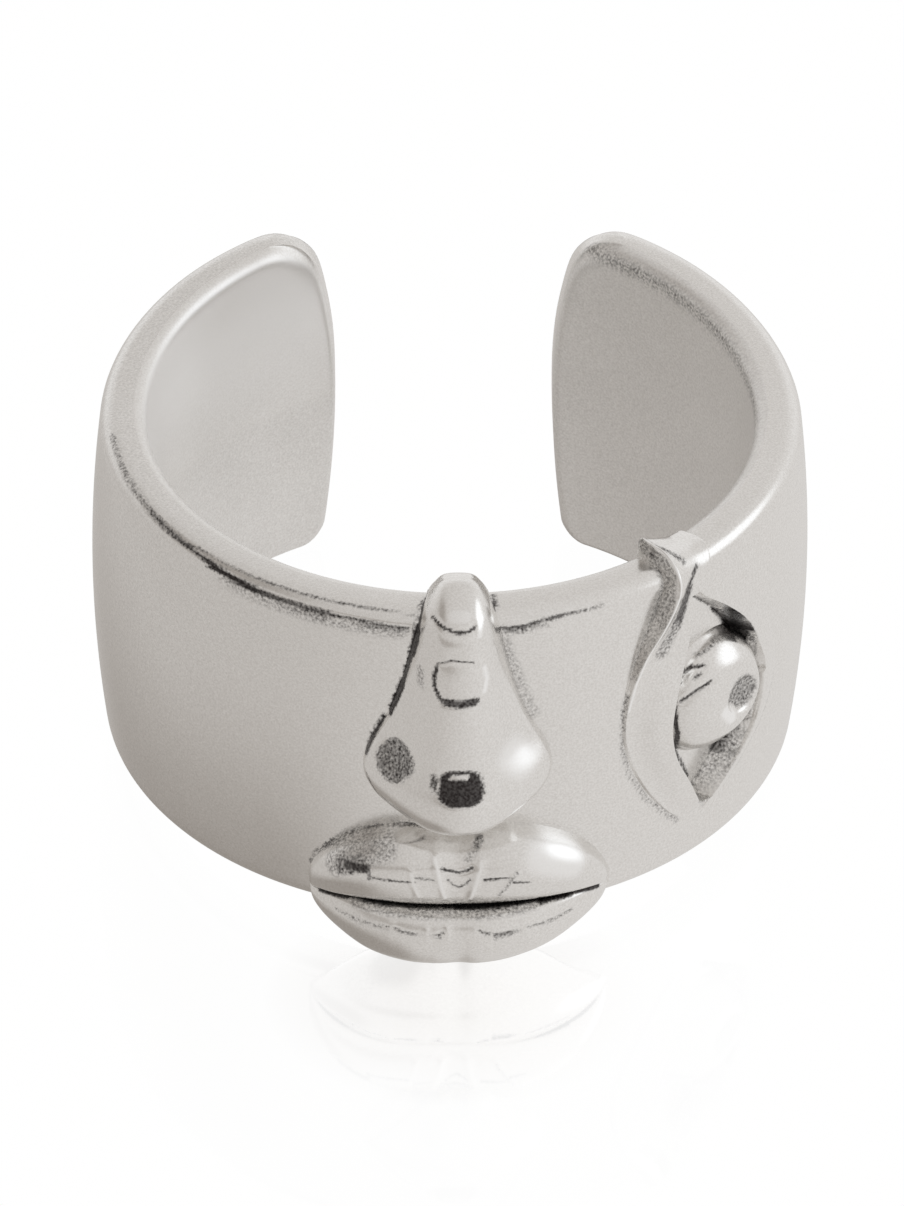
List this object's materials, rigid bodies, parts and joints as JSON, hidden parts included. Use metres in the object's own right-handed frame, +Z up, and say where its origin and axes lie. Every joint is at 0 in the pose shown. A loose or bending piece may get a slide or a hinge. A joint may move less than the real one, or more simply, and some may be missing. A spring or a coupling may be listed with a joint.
{
  "type": "toe ring",
  "caption": "Open cast band with a raised nose, lips and one upright eye, worn round a toe.",
  "frame": {"origin": "on the floor, under the middle of the whole ring", "axes": "+Z up, nearly along the ring's axis, which leans back 4.5 degrees; -Y the front, with the face; +X the side with the eye"},
  "size_m": [0.0176, 0.019, 0.0111],
  "materials": {
    "silver": "satin-polished cast silver"
  },
  "bodies": {
    "root": {"cast_ring": "silver"}
  },
  "joints": []
}
